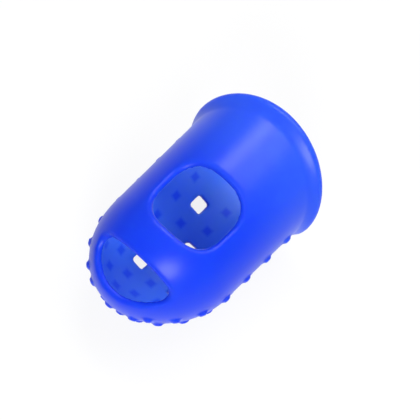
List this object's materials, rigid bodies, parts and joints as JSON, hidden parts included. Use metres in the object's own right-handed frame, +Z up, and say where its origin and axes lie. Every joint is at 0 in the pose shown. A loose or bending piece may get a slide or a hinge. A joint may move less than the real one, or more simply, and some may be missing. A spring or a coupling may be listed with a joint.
{
  "type": "rubber finger tip",
  "caption": "Short silicone finger tip with a flared lip, a nail window, a half-moon nail opening, staggered grip nubs and square vents.",
  "frame": {"origin": "on the table under the middle of the piece as it lies on its pad side", "axes": "+Z up out of the nail side, -Y towards the closed tip, +Y towards the mouth, X across the finger"},
  "size_m": [0.022, 0.0324, 0.0218],
  "materials": {
    "silicone": "translucent blue silicone with a soft satin skin"
  },
  "bodies": {
    "root": {"finger_tip": "silicone"}
  },
  "joints": []
}
